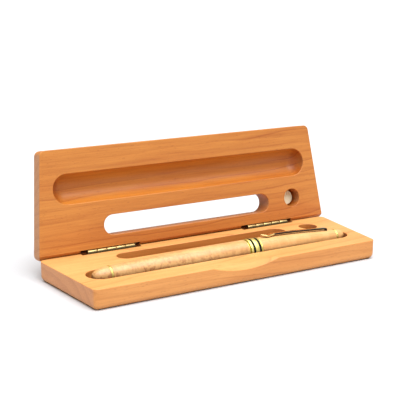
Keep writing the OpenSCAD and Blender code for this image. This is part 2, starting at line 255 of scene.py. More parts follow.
def case_wood(name, pith, lean, light, deep, line, fleck, pocket_shade,
              end_tint, top_light_tint):
    """Oiled flat-sawn hardwood with long grain, ray flecks, end grain and worn edges that also carry a
    painted highlight.

    pith and lean place the heart of the tree that the growth rings run around. line is
    the colour of late wood and fleck that of rays and pores. The three tints multiply painted
    shade on the walls of pockets, the end grain, and a painted sheen on faces that look straight up."""
    g = Graph(name)
    place = g.place.outputs["Object"]
    ring = growth_rings(g, place, pith, lean, 5.6 * MM, 12 * MM)
    late = g.remap(ring, 0.45, 0.96)
    dark_line = g.math("MULTIPLY", g.remap(ring, 0.84, 0.95), g.remap(ring, 0.97, 1.0, 1.0, 0.0))
    presence = g.remap(g.noise(place, (11, 60, 60), 1.0), 0.40, 0.62, 0.06, 0.85)
    cloud = g.noise(place, (12, 55, 55), 3.0, 0.55)
    streak = g.noise(place, (16, 520, 520), 4.0, 0.62)
    fibre = g.noise(place, (45, 1500, 1500), 3.0, 0.6)
    fine_fibre = g.noise(place, (160, 5200, 5200), 2.0, 0.6)
    dash = g.remap(g.noise(place, (420, 2700, 2700), 1.0, 0.4), 0.66, 0.76)
    pore = g.remap(g.noise(place, (700, 6500, 6500), 1.0, 0.4), 0.62, 0.75)

    tone = g.mix(g.remap(cloud, 0.3, 0.7), light, deep)
    tone = g.mix(g.math("MULTIPLY", late, 0.16), tone, line)
    tone = g.mix(g.math("MULTIPLY", dark_line, g.math("MULTIPLY", presence, 0.72)), tone, line)
    tone = g.mix(g.remap(streak, 0.45, 0.75, 0.0, 0.42), tone, line)
    tone = g.mix(g.remap(fibre, 0.35, 0.75, 0.0, 0.30), tone, line)
    tone = g.mix(g.remap(fine_fibre, 0.4, 0.8, 0.0, 0.22), tone, light)
    tone = g.mix(g.math("MULTIPLY", dash, 0.42), tone, fleck)
    tone = g.mix(g.math("MULTIPLY", pore, 0.20), tone, fleck)

    facing_x = g.math("ABSOLUTE", g.split(g.place.outputs["Normal"])[0])
    end_face = g.remap(facing_x, 0.75, 0.97)
    speckle = g.noise(place, (2600, 2600, 2600), 2.0, 0.6)
    end_tone = g.mix(g.remap(speckle, 0.35, 0.7), END_GRAIN_DEEP, END_GRAIN_LIGHT)
    end_tone = g.mix(g.math("MULTIPLY", late, 0.30), end_tone, END_GRAIN_RING)
    end_tone = g.mix(1.0, end_tone, end_tint, "MULTIPLY")
    recess = g.node("ShaderNodeAttribute", attribute_name="recess").outputs["Fac"]
    in_pocket = g.math("MINIMUM", recess, 1.0)
    in_seat = g.remap(recess, 1.0, 2.0)
    pocket_end = g.math("MULTIPLY", g.remap(facing_x, 0.2, 0.6), in_pocket)
    # Painted sheen: faces that look straight up get a paler, less saturated tone.
    top_light = g.remap(g.split(g.place.outputs["Normal"])[2], 0.90, 0.98)
    tone = g.mix(top_light, tone, top_light_tint, "MULTIPLY")
    tone = g.mix(end_face, tone, end_tone)

    # Painted shade on the end walls of pockets, deep in the pockets and in the hinge seats.
    tone = g.mix(pocket_end, tone, POCKET_END_SHADE, "MULTIPLY")
    tone = g.mix(in_pocket, tone, pocket_shade, "MULTIPLY")
    tone = g.mix(in_seat, tone, HINGE_SEAT_SHADE, "MULTIPLY")

    # Worn edges lighten toward the light tone: real wear, and also a painted highlight where the edges
    # catch the light.
    inside = g.node("ShaderNodeAmbientOcclusion", samples=4, inside=True, only_local=True)
    inside.inputs["Distance"].default_value = 1.1 * MM
    edge = g.remap(inside.outputs["AO"], 0.35, 0.85, 1.0, 0.0)
    wear_and_edge_highlight = g.math("MULTIPLY", edge, g.remap(g.noise(place, (160, 300, 300), 3.0), 0.35, 0.65, 0.1, 0.5))
    tone = g.mix(wear_and_edge_highlight, tone, light)

    rough = g.remap(fine_fibre, 0.3, 0.8, 0.40, 0.56)
    rough = g.math("ADD", rough, g.math("MULTIPLY", end_face, 0.14))
    rough = g.math("SUBTRACT", rough, g.math("MULTIPLY", wear_and_edge_highlight, 0.12))
    height = g.math("MULTIPLY_ADD", fibre, 0.5, g.math("MULTIPLY", fine_fibre, 0.5))
    height = g.math("SUBTRACT", height, g.math("MULTIPLY", g.math("MAXIMUM", dash, pore), 0.7))
    g.set(Base_Color=tone, Roughness=rough, Normal=g.bump(height, 0.35, 0.08 * MM))
    g.set(Specular_IOR_Level=0.42, Coat_Weight=0.06, Coat_Roughness=0.3)
    return g.material


MAPLE_LIGHT, MAPLE_DEEP = (0.70, 0.400, 0.150), (0.60, 0.300, 0.095)
MAPLE_RING, MAPLE_FIBRE = (0.50, 0.235, 0.075), (0.50, 0.230, 0.072)
MAPLE_CURL, MAPLE_EYE = (0.78, 0.49, 0.21), (0.48, 0.215, 0.070)
MAPLE_PIP, MAPLE_GRIT = (0.24, 0.085, 0.025), (0.34, 0.135, 0.045)
MAPLE_UNDERSIDE_SHADE, MAPLE_CONTACT_SHADE = (0.34, 0.140, 0.040), (0.16, 0.055, 0.014)


def pen_wood(name, eyes, seed, tint=(1.0, 1.0, 1.0)):
    """Pale lacquered maple with painted shade down its lower sides and painted contact shade where other
    parts come close.

    eyes is how strongly bird's-eye figure shows, seed moves the figure to another part
    of the tree, and tint multiplies the whole colour."""
    g = Graph(name)
    place = g.place.outputs["Object"]
    along = g.split(place)[0]
    moved = g.node("ShaderNodeVectorMath", operation="ADD")
    g.link(place, moved.inputs[0])
    moved.inputs[1].default_value = (seed, 0.4 * seed, -0.7 * seed)
    place = moved.outputs[0]
    ring = growth_rings(g, place, (-30 * MM + 0.4 * seed, -26 * MM - 0.7 * seed), (0.02, 0.03),
                        2.6 * MM, 5 * MM)
    fibre = g.noise(place, (70, 1700, 1700), 3.0, 0.6)
    cloud = g.noise(place, (60, 160, 160), 3.0, 0.5)
    cell = g.voronoi(place, (400, 620, 620))
    grit = g.remap(g.noise(place, (760, 430, 430), 1.5), 0.50, 0.57)
    crowd = g.remap(cloud, 0.34, 0.56, 0.3, 1.0)
    crowd = g.math("MULTIPLY", crowd, g.remap(along, -50 * MM, 5 * MM, 1.0, 0.45))
    # Mask of the lower sides, from how far the normal turns away from straight up.
    lower_side = g.remap(g.split(g.place.outputs["Normal"])[2], 0.15, 0.80, 1.0, 0.0)
    crowd = g.math("MULTIPLY", crowd, g.math("MULTIPLY_ADD", lower_side, 0.75, 0.3))
    eye = g.math("MULTIPLY", g.remap(cell, 0.10, 0.36, 1.0, 0.0), crowd)
    pip = g.math("MULTIPLY", g.remap(cell, 0.05, 0.38, 1.0, 0.0), crowd)
    grit = g.math("MULTIPLY", grit, crowd)
    curl = g.noise(place, (380, 90, 90), 2.0, 0.5, 0.6)

    tone = g.mix(g.remap(cloud, 0.3, 0.7), MAPLE_LIGHT, MAPLE_DEEP)
    tone = g.mix(g.remap(ring, 0.6, 1.0, 0.0, 0.40), tone, MAPLE_RING)
    tone = g.mix(g.remap(fibre, 0.45, 0.8, 0.0, 0.35), tone, MAPLE_FIBRE)
    tone = g.mix(g.math("MULTIPLY", g.remap(curl, 0.45, 0.7), 0.22), tone, MAPLE_CURL)
    tone = g.mix(g.math("MULTIPLY", eye, 0.55 * eyes), tone, MAPLE_EYE)
    tone = g.mix(g.math("MULTIPLY", pip, 0.9 * eyes), tone, MAPLE_PIP)
    tone = g.mix(g.math("MULTIPLY", grit, 0.9 * eyes), tone, MAPLE_GRIT)
    # Painted shade on the lower sides, strongest toward the barrel's end.
    underside_shade = g.math("MULTIPLY_ADD", g.remap(along, -60 * MM, 0, 0.26, 0.06), lower_side, 0.02)
    tone = g.mix(underside_shade, tone, MAPLE_UNDERSIDE_SHADE)
    tone = g.mix(1.0, tone, tint, "MULTIPLY")
    # Painted contact shade where other parts come close, such as the groove's walls.
    nearby = g.node("ShaderNodeAmbientOcclusion", samples=6)
    nearby.inputs["Distance"].default_value = 3.6 * MM
    painted_shade = g.remap(nearby.outputs["AO"], 0.42, 0.74, 0.85, 0.0)
    tone = g.mix(painted_shade, tone, MAPLE_CONTACT_SHADE)
    rough = g.remap(g.noise(place, (900, 900, 900), 2.0), 0.3, 0.7, 0.36, 0.48)
    height = g.math("ADD", g.math("MULTIPLY", fibre, 0.4), g.math("MULTIPLY", eye, 0.5 * eyes))
    g.set(Base_Color=tone, Roughness=rough, Normal=g.bump(height, 0.2, 0.05 * MM))
    g.set(Coat_Weight=0.15, Coat_Roughness=0.25)
    return g.material


PEG_LIGHT, PEG_DEEP = (0.98, 0.97, 0.76), (0.96, 0.93, 0.68)
PEG_RING, PEG_PORE = (0.90, 0.80, 0.50), (0.75, 0.60, 0.34)
PEG_OUTER_TINT = (0.82, 0.72, 0.55)


def plug_wood(name):
    """Pale sanded peg cut across the grain, with fine rings around an off-centre heart."""
    g = Graph(name)
    place = g.place.outputs["Object"]
    ring = growth_rings(g, place, (29 * MM, 31 * MM), (0.5, 0.3), 0.55 * MM, 0.8 * MM)
    pore = g.remap(g.noise(place, (3800, 3800, 3800), 1.0), 0.56, 0.72)
    cloud = g.noise(place, (260, 260, 260), 3.0)
    tone = g.mix(g.remap(cloud, 0.3, 0.7), PEG_LIGHT, PEG_DEEP)
    tone = g.mix(g.remap(ring, 0.55, 1.0, 0.0, 0.35), tone, PEG_RING)
    tone = g.mix(g.math("MULTIPLY", pore, 0.35), tone, PEG_PORE)
    outward = g.remap(g.split(g.place.outputs["Normal"])[1], -0.2, 0.2)
    tone = g.mix(outward, tone, PEG_OUTER_TINT, "MULTIPLY")
    height = g.math("SUBTRACT", g.math("MULTIPLY", ring, 0.4), pore)
    g.set(Base_Color=tone, Roughness=g.remap(cloud, 0.3, 0.7, 0.55, 0.68))
    g.set(Normal=g.bump(height, 0.3, 0.05 * MM))
    return g.material


# ---------------------------------------------------------------- metal and plastic


def metal(name, bright, dull, roughness, wear=0.5, turned=False, painted_shade=None,
          shade_facing=(0, 0, -1), shade_range=(0, 1), bright_until=None):
    """Plated or drawn metal with fine scratches, smudges and slight tarnish.

    painted_shade is the colour of a painted shade and dark reflection on faces that look
    along shade_facing, from none to full over the shade_range of that agreement. bright_until
    is the place along X up to which even these faces stay bright."""
    g = Graph(name)
    place = g.place.outputs["Object"]
    along = (5200, 260, 260) if turned else (260, 5200, 5200)
    scratch = g.noise(place, along, 3.0, 0.6)
    smudge = g.noise(place, (240, 240, 240), 4.0, 0.55)
    tarnish = g.remap(smudge, 0.45, 0.75, 0.0, wear)
    tone = g.mix(tarnish, bright, dull)
    rough = g.remap(scratch, 0.3, 0.75, roughness * 0.75, roughness * 1.35)
    rough = g.math("MULTIPLY_ADD", tarnish, 0.16, rough)
    g.set(Metallic=1.0)
    # Painted shade and dark reflection on faces that look along one direction; these turn rougher and
    # less metallic.
    if painted_shade is not None:
        facing = g.node("ShaderNodeVectorMath", operation="DOT_PRODUCT")
        g.link(g.place.outputs["Normal"], facing.inputs[0])
        facing.inputs[1].default_value = shade_facing
        shaded = g.remap(facing.outputs["Value"], *shade_range)
        if bright_until is not None:
            along = g.split(place)[0]
            shaded = g.math("MULTIPLY", shaded, g.remap(along, bright_until, bright_until + 2 * MM))
        tone = g.mix(shaded, tone, painted_shade)
        rough = g.math("MULTIPLY_ADD", shaded, 0.3, rough)
        g.set(Metallic=g.math("MULTIPLY_ADD", shaded, -0.6, 1.0))
    g.set(Base_Color=tone, Roughness=rough)
    g.set(Normal=g.bump(scratch, 0.10, 0.02 * MM))
    return g.material


def plastic(name, tone, lighter, roughness, grain, gloss=0.5):
    """Moulded plastic with a faint texture, dust and handling marks."""
    g = Graph(name)
    place = g.place.outputs["Object"]
    dust = g.noise(place, (420, 420, 420), 4.0, 0.6)
    skin = g.noise(place, (grain, grain, grain), 2.0, 0.5)
    colour = g.mix(g.remap(dust, 0.5, 0.8, 0.0, 0.5), tone, lighter)
    rough = g.remap(dust, 0.35, 0.75, roughness, roughness + 0.16)
    g.set(Base_Color=colour, Roughness=rough, Normal=g.bump(skin, 0.12, 0.03 * MM))
    g.set(Specular_IOR_Level=gloss)
    return g.material


# The base's straight-up faces get a paler painted sheen, and its pockets and hinge seats painted shade.
BASE_WOOD = case_wood(
    "base_wood", pith=(16 * MM, -48 * MM), lean=(0.02, 0.05),
    light=(0.70, 0.310, 0.086), deep=(0.63, 0.250, 0.062),
    line=(0.45, 0.150, 0.032), fleck=(0.34, 0.110, 0.026), pocket_shade=(0.58, 0.52, 0.38),
    end_tint=(0.95, 0.88, 0.80), top_light_tint=(1.0, 1.20, 1.45))
# Same wood as the base, with darker and more saturated colours as painted shade, and warmer pockets as
# painted bounce light.
LID_WOOD = case_wood(
    "lid_wood", pith=(66 * MM, 88 * MM), lean=(0.035, -0.045),
    light=(0.57, 0.222, 0.042), deep=(0.49, 0.163, 0.028),
    line=(0.31, 0.074, 0.011), fleck=(0.24, 0.056, 0.009), pocket_shade=(1.02, 0.94, 0.62),
    end_tint=(0.76, 0.70, 0.60), top_light_tint=(1.0, 1.0, 1.0))
PLUG_WOOD = plug_wood("pale_plug")
BARREL_WOOD = pen_wood("barrel_maple", eyes=1.0, seed=0.013, tint=(0.92, 0.95, 0.98))
CAP_WOOD = pen_wood("cap_maple", eyes=0.25, seed=0.057)
GOLD = metal("gold_plate", (0.85, 0.66, 0.22), (0.66, 0.48, 0.15), 0.20, 0.35)
# The clip's flanks and underside carry painted shade and dark reflection, and its spoon stays bright.
CLIP_GOLD = metal("gold_plate_clip", (0.96, 0.76, 0.34), (0.78, 0.56, 0.20), 0.16, 0.3,
                  painted_shade=(0.014, 0.004, 0.003), shade_range=(-0.995, -0.93),
                  bright_until=28.8 * MM)
TURNED_GOLD = metal("gold_plate_turned", (0.80, 0.70, 0.24), (0.62, 0.52, 0.15), 0.46, 0.35, True)
# The knuckles' lower front carries painted shade and dark reflection.
HINGE_BRASS = metal("hinge_brass", (0.62, 0.47, 0.20), (0.34, 0.23, 0.08), 0.26, 0.6, True,
                    painted_shade=(0.060, 0.040, 0.010), shade_facing=(0, -1, -0.2),
                    shade_range=(0.29, 0.84))
TUBE_BRASS = metal("tube_brass", (0.74, 0.55, 0.22), (0.45, 0.31, 0.12), 0.32, 0.7)
STEEL = metal("screw_steel", (0.62, 0.62, 0.60), (0.36, 0.35, 0.33), 0.28, 0.6, True)
BLACK = plastic("black_enamel", (0.004, 0.004, 0.004), (0.016, 0.016, 0.016), 0.5, 2600, 0.12)
GRIP_BLACK = plastic("grip_black", (0.014, 0.014, 0.016), (0.06, 0.06, 0.06), 0.18, 3200)
INNER_BLACK = plastic("inner_cap_black", (0.030, 0.030, 0.032), (0.09, 0.09, 0.09), 0.5, 1800)
INK_BLUE = plastic("cartridge_blue", (0.012, 0.032, 0.170), (0.06, 0.10, 0.28), 0.2, 2400)


# ---------------------------------------------------------------- mesh helpers


def mesh_object(name, mesh_builder, material=None, smooth_angle=35):
    """Makes an object from a bmesh, with edges sharper than smooth_angle kept crisp."""
    bmesh.ops.remove_doubles(mesh_builder, verts=mesh_builder.verts, dist=1e-7)
    bmesh.ops.recalc_face_normals(mesh_builder, faces=mesh_builder.faces)
    data = bpy.data.meshes.new(name)
    mesh_builder.to_mesh(data)
    mesh_builder.free()
    made = bpy.data.objects.new(name, data)
    bpy.context.scene.collection.objects.link(made)
    if material is not None:
        data.materials.append(material)
    shade(data, smooth_angle)
    return made


def shade(data, angle):
    """Smooth shading, broken at edges sharper than angle in degrees."""
    data.polygons.foreach_set("use_smooth", [True] * len(data.polygons))
    data.set_sharp_from_angle(angle=math.radians(angle))


def loft(rings):
    """A closed bmesh skin over rings of equally many points, capped at both ends."""
    bm = bmesh.new()
    rows = [[bm.verts.new(point) for point in ring] for ring in rings]
    count = len(rows[0])
    for low, high in zip(rows, rows[1:]):
        for i in range(count):
            j = (i + 1) % count
            bm.faces.new((low[i], low[j], high[j], high[i]))
    bm.faces.new(rows[0])
    bm.faces.new(rows[-1])
    return bm


def lathe(name, outline, material, segments=96, smooth_angle=35):
    """A closed outline of (place along X, radius) points turned around the pen's axis."""
    bm = bmesh.new()
    rows = []
    for x, radius in outline:
        if radius < 1e-6:
            rows.append([bm.verts.new((x, PEN_Y, PEN_Z))])
            continue
        rows.append([
            bm.verts.new((x, PEN_Y + radius * math.cos(TAU * k / segments),
                          PEN_Z + radius * math.sin(TAU * k / segments)))
            for k in range(segments)
        ])
    for row, following in zip(rows, rows[1:] + rows[:1]):
        if len(row) == 1 and len(following) == 1:
            continue
        for k in range(segments):
            j = (k + 1) % segments
            corners = [row[k % len(row)], row[j % len(row)],
                       following[j % len(following)], following[k % len(following)]]
            unique = list(dict.fromkeys(corners))
            if len(unique) > 2:
                bm.faces.new(unique)
    return mesh_object(name, bm, material, smooth_angle)


def arc(centre_x, centre_r, radius, start, end, steps):
    """Points on an arc in the (x, radius) plane, with angles in degrees from +X."""
    return [
        (centre_x + radius * math.cos(math.radians(start + (end - start) * k / steps)),
         centre_r + radius * math.sin(math.radians(start + (end - start) * k / steps)))
        for k in range(steps + 1)
    ]


def apply_modifiers(obj):
    """Applies every modifier on obj to its mesh."""
    depsgraph = bpy.context.evaluated_depsgraph_get()
    final = bpy.data.meshes.new_from_object(obj.evaluated_get(depsgraph))
    obj.modifiers.clear()
    obj.data = final


def cut(obj, cutters):
    """Subtracts each cutter from obj and deletes it."""
    for cutter in cutters:
        modifier = obj.modifiers.new("cut", "BOOLEAN")
        modifier.operation = "DIFFERENCE"
        modifier.solver = "EXACT"
        modifier.object = cutter
    apply_modifiers(obj)
    for cutter in cutters:
        bpy.data.objects.remove(cutter)


# ---------------------------------------------------------------- the two halves of the case


def outline_ring(inset, z):
    """The case's plan outline at height z, drawn in by inset, as a ring of points."""
    slant = math.atan2(END_TAPER, REAR - FRONT)
    corner_r = max(EDGE_R - inset, 0.02 * MM)
    extra = max(inset - EDGE_R, 0)

    def corner_x(y):
        end = HALF_LENGTH - END_TAPER * (REAR - y) / (REAR - FRONT)
        return end - (EDGE_R + extra) / math.cos(slant)

    front_y, rear_y = FRONT + EDGE_R + extra, REAR - EDGE_R - extra
    half_turn, quarter = math.pi, math.pi / 2
    corners = [
        (corner_x(front_y), front_y, -quarter, -slant),
        (corner_x(rear_y), rear_y, -slant, quarter),
        (-corner_x(rear_y), rear_y, quarter, half_turn + slant),
        (-corner_x(front_y), front_y, half_turn + slant, half_turn + quarter),
    ]
    steps = 10
    ring = []
    for cx, cy, start, end in corners:
        for k in range(steps + 1):
            turn = start + (end - start) * k / steps
            ring.append((cx + corner_r * math.cos(turn), cy + corner_r * math.sin(turn), z))
    return ring


def blank(name):
    """The outer block of one half: rounded outside, slightly softened at the seam."""
    steps = 10
    rings = [outline_ring(EDGE_R + 0.6 * MM, 0), outline_ring(EDGE_R, 0)]
    for k in range(1, steps + 1):
        turn = math.pi / 2 * k / steps
        rings.append(outline_ring(EDGE_R * (1 - math.sin(turn)), EDGE_R * (1 - math.cos(turn))))
    rings.append(outline_ring(0, EDGE_R + 0.6 * MM))
    rings.append(outline_ring(0, HALF_T - SOFT_R - 0.4 * MM))
    for k in range(4):
        turn = math.pi / 2 * k / 3
        rings.append(outline_ring(SOFT_R * (1 - math.cos(turn)), HALF_T - SOFT_R * (1 - math.sin(turn))))
    return mesh_object(name, loft(rings))


def stadium_ring(span, y, radius, z, steps=ROUND_STEPS):
    """A ring of two half circles joined by straight sides.

    span is the middle and the half length of the straight part along X."""
    centre, reach = span
    points = []
    for side, start in ((1, -0.5), (-1, 0.5)):
        for k in range(steps + 1):
            turn = math.pi * (start + k / steps)
            points.append((centre + side * reach + radius * math.cos(turn),
                           y + radius * math.sin(turn), z))
    return points


def lip(radius, top):
    """(radius, z) levels of a rounded lip that meets the face at z = top."""
    levels = []
    for k in range(4):
        turn = math.pi / 2 * k / 3
        levels.append((radius + LIP_R * (1 - math.cos(turn)), top - LIP_R * (1 - math.sin(turn))))
    levels.append((radius + LIP_R, top + MM))
    return levels


def groove_cutter():
    """Round-bottomed, round-ended groove with a rounded lip."""
    steps = 22
    levels = []
    for k in range(steps):
        turn = math.pi / 2 * k / steps
        depth = GROOVE_R * math.cos(turn)
        if depth > LIP_R:
            levels.append((max(GROOVE_R * math.sin(turn), 0.05 * MM), HALF_T - depth))
    levels += lip(GROOVE_R, HALF_T)
    return mesh_object("groove_cutter", loft([
        stadium_ring(GROOVE_SPAN, PEN_Y, radius, z, 20) for radius, z in levels]))


def pocket_cutter(span, y, radius, floor):
    """Straight-walled pocket with a filleted floor and a rounded lip."""
    levels = []
    for k in range(5):
        turn = math.pi / 2 * k / 4
        levels.append((radius - POCKET_FILLET * (1 - math.sin(turn)),
                       floor + POCKET_FILLET * (1 - math.cos(turn))))
    levels += lip(radius, HALF_T)
    return mesh_object("pocket_cutter", loft([
        stadium_ring(span, y, r, z) for r, z in levels]))


def window_cutter(span, y, radius):
    """Opening right through, with a rounded lip on both faces."""
    levels = [(r, -z) for r, z in reversed(lip(radius, 0))]
    levels += lip(radius, HALF_T)
    return mesh_object("window_cutter", loft([
        stadium_ring(span, y, r, z) for r, z in levels]))


def plug_hole_cutter():
    """Plain round hole for the plug, from below the outer face up into the wide part."""
    return mesh_object("plug_hole_cutter", loft([
        stadium_ring(RECESS_SPAN, RECESS_Y, PLUG_R + PLUG_FIT, z)
        for z in (-MM, LID_HOLE_FLOOR + MM)]))


def prism(name, outline, low_x, high_x):
    """An outline of (y, z) points extended along X."""
    return mesh_object(name, loft([[(x, y, z) for y, z in outline] for x in (low_x, high_x)]))


def bevel_cutter():
    """Slope along the mating face's rear edge, which lets the lid swing open."""
    start = REAR - LID_BEVEL
    past = MM
    return prism("bevel_cutter", [
        (start, HALF_T), (REAR + past, HALF_T - LID_BEVEL - past),
        (REAR + past, HALF_T + past), (start, HALF_T + past)],
        -HALF_LENGTH - past, HALF_LENGTH + past)


def scoop_cutter():
    """Large cylinder tilted down to the front, which leaves a shallow dip for a finger."""
    radius = ((SCOOP_LENGTH / 2) ** 2 + SCOOP_DROP ** 2) / (2 * SCOOP_DROP)
    steps = 288
    ring = [(radius * math.sin(TAU * k / steps), radius * (1 - math.cos(TAU * k / steps)))
            for k in range(steps)]
    bm = loft([[(x, y, z) for x, z in ring] for y in (-6 * MM, 20 * MM)])
    bm.transform(Matrix.Translation((0, FRONT, HALF_T - SCOOP_DROP))
                 @ Matrix.Rotation(SCOOP_TILT, 4, "X"))
    return mesh_object("scoop_cutter", bm)


def hinge_seat_cutters():
    """A sawn kerf and a knuckle channel at each hinge."""
    cutters = []
    for side in (-1, 1):
        low_x = side * HINGE_X - KERF_LENGTH / 2
        high_x = side * HINGE_X + KERF_LENGTH / 2
        channel = [(HINGE_Y + KNUCKLE_ROOM_R * math.cos(TAU * k / 40),
                    HINGE_Z + KNUCKLE_ROOM_R * math.sin(TAU * k / 40)) for k in range(40)]
        cutters.append(prism("channel_cutter", channel, low_x, high_x))
        diagonal = math.sqrt(0.5)
        down, across = Vector((-diagonal, -diagonal)), Vector((-diagonal, diagonal))
        axis = Vector((HINGE_Y, HINGE_Z))
        kerf = [axis + across * KERF_T / 2, axis - across * KERF_T / 2,
                axis - across * KERF_T / 2 + down * KERF_REACH,
                axis + across * KERF_T / 2 + down * KERF_REACH]
        cutters.append(prism("kerf_cutter", [tuple(p) for p in kerf], low_x, high_x))
    return cutters


def case_half(name, cutters, material):
    """One half of the case, modelled as the lower one."""
    half = blank(name)
    cut(half, [groove_cutter(), *hinge_seat_cutters(), *cutters])
    half.data.materials.clear()
    half.data.materials.append(material)
    mark_recesses(half.data)
    return half


def pocket_depth(point):
    """How deep in a pocket a point lies, from 0 at the mating face to 1 well inside."""
    pockets = ((*GROOVE_SPAN, PEN_Y, GROOVE_R), (*SLOT_SPAN, SLOT_Y, SLOT_R),
               (*RECESS_SPAN, RECESS_Y, RECESS_R))
    full_depth, slack = 1.2 * MM, 0.05 * MM
    x, y, z = point
    for centre, reach, middle, radius in pockets:
        aside = max(abs(x - centre) - reach, 0)
        if math.hypot(aside, y - middle) < radius + slack:
            return min(max((HALF_T - z) / full_depth, 0), 1)
    return 0


def in_hinge_seat(point):
    """True on the walls of a knuckle channel or a kerf."""
    slack = 0.05 * MM
    x, y, z = point
    away = math.hypot(y - HINGE_Y, z - HINGE_Z)
    near_kerf = abs((y - HINGE_Y) - (z - HINGE_Z)) < KERF_T and away < KERF_REACH + MM
    return (abs(abs(x) - HINGE_X) < KERF_LENGTH / 2 + slack
            and (away < KNUCKLE_ROOM_R + slack or near_kerf))


def mark_recesses(data):
    """Stores how much painted shade each corner gets: 0 outside, 1 deep in a pocket, 2 in a hinge seat.
    """
    layer = data.attributes.new("recess", "FLOAT", "CORNER")
    depths = [pocket_depth(vertex.co) for vertex in data.vertices]
    seated = [in_hinge_seat(vertex.co) for vertex in data.vertices]
    for face in data.polygons:
        seat = all(seated[index] for index in face.vertices)
        for corner in face.loop_indices:
            layer.data[corner].value = 2 if seat else depths[data.loops[corner].vertex_index]


def finish_shading(obj):
    """Crisp edges stay crisp, and large flat faces keep their own normals."""
    shade(obj.data, 28)
    modifier = obj.modifiers.new("flat_faces", "WEIGHTED_NORMAL")
    modifier.keep_sharp = True
    modifier.weight = 100


def make_base():
    """Lower half with its slot, recess and finger scoop."""
    base = case_half("case_base", [
        pocket_cutter(SLOT_SPAN, SLOT_Y, SLOT_R, POCKET_FLOOR),
        pocket_cutter(RECESS_SPAN, RECESS_Y, RECESS_R, POCKET_FLOOR),
        scoop_cutter()], BASE_WOOD)
    finish_shading(base)
    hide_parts("base_body")
    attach(base, "base")


def opened():
    """Turns a mesh of the lower half into the upper half, swung open."""
    shut = Matrix.Translation((0, 0, 2 * HINGE_Z)) @ Matrix.Scale(-1, 4, (0, 0, 1))
    pivot = Matrix.Translation((0, HINGE_Y, HINGE_Z))
    return pivot @ Matrix.Rotation(-OPEN_ANGLE, 4, "X") @ pivot.inverted() @ shut


def make_lid():
    """Upper half with its window, stepped hole and bevel, swung open."""
    plug_hole = plug_hole_cutter()
    lid = case_half("case_lid", [
        window_cutter(SLOT_SPAN, SLOT_Y, SLOT_R),
        pocket_cutter(RECESS_SPAN, RECESS_Y, RECESS_R, LID_HOLE_FLOOR),
        plug_hole, bevel_cutter()], LID_WOOD)
    lid.data.transform(opened())
    lid.data.flip_normals()
    finish_shading(lid)
    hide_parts("lid_body")
    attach(lid, "lid")


def make_plug():
    """Pale peg at the bottom of the lid's round hole, with a softly crowned face."""
    rim, crown, steps = 0.5 * MM, 0.12 * MM, 12
    levels = [(PLUG_R - 0.15 * MM, 0), (PLUG_R, 0.15 * MM), (PLUG_R, PLUG_TOP - crown - rim)]
    for k in range(1, 7):
        turn = math.pi / 2 * k / 6
        levels.append((PLUG_R - rim * (1 - math.cos(turn)),
                       PLUG_TOP - crown - rim * (1 - math.sin(turn))))
    for k in range(1, steps):
        radius = (PLUG_R - rim) * (1 - k / steps)
        levels.append((radius, PLUG_TOP - crown * (radius / PLUG_R) ** 2))
    plug = mesh_object("lid_plug", loft([
        stadium_ring(RECESS_SPAN, RECESS_Y, r, z) for r, z in levels]), PLUG_WOOD)
    plug.data.transform(opened())
    plug.data.flip_normals()
    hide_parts("lid_round_plug")
    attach(plug, "lid")


# ---------------------------------------------------------------- the hinges


def knuckle(start, length):
    """Rolled knuckle with rounded ends around the hinge axis, as a bmesh."""
    soft, bore, segments = 0.34 * MM, HINGE_PIN_R + 0.03 * MM, 48
    outline = [(start, bore), (start, KNUCKLE_R - soft)]
    outline += arc(start + soft, KNUCKLE_R - soft, soft, 180, 90, 5)[1:]
    outline += arc(start + length - soft, KNUCKLE_R - soft, soft, 90, 0, 5)
    outline += [(start + length, bore)]
    bm = bmesh.new()
    rows = [[bm.verts.new((x, HINGE_Y + r * math.cos(TAU * k / segments),
                           HINGE_Z + r * math.sin(TAU * k / segments)))
             for k in range(segments)] for x, r in outline]
    for row, following in zip(rows, rows[1:] + rows[:1]):
        for k in range(segments):
            j = (k + 1) % segments
            bm.faces.new((row[k], row[j], following[j], following[k]))
    return bm


def plate(low_x, high_x, near, far):
    """Part of a leaf between two distances from the axis, with softened long edges."""
    soft = 0.12 * MM
    down, across = Vector((-1, -1)) * math.sqrt(0.5), Vector((-1, 1)) * math.sqrt(0.5)
    half_t = LEAF_T / 2
    section = [(near, -half_t), (far - soft, -half_t), (far, soft - half_t),
               (far, half_t - soft), (far - soft, half_t), (near, half_t)]
    axis = Vector((HINGE_Y, HINGE_Z))
    points = [axis + down * away + across * side for away, side in section]
    return loft([[(x, point.x, point.y) for point in points] for x in (low_x, high_x)])


def hinge_leaf(name, side, first, material):
    """One leaf with every second knuckle; first is 0 for the base and 1 for the lid."""
    pitch = (HINGE_LENGTH + KNUCKLE_GAP) / KNUCKLE_COUNT
    start = side * HINGE_X - HINGE_LENGTH / 2
    length = pitch - KNUCKLE_GAP
    clear = KNUCKLE_R + LEAF_CLEAR
    whole = mesh_object(name, plate(start, start + HINGE_LENGTH, clear, LEAF_REACH), material)
    parts = []
    for index in range(first, KNUCKLE_COUNT, 2):
        low = start + index * pitch
        parts.append(mesh_object("knuckle", knuckle(low, length)))
        parts.append(mesh_object("tooth", plate(
            low + TOOTH_INSET, low + length - TOOTH_INSET,
            (KNUCKLE_R + HINGE_PIN_R) / 2, clear + TOOTH_OVERLAP)))
    return merged(whole, parts)


def merged(whole, parts):
    """Fuses parts into whole and deletes them."""
    for part in parts:
        modifier = whole.modifiers.new("fuse", "BOOLEAN")
        modifier.operation = "UNION"
        modifier.solver = "EXACT"
        modifier.object = part
    apply_modifiers(whole)
    for part in parts:
        bpy.data.objects.remove(part)
    shade(whole.data, 40)
    return whole


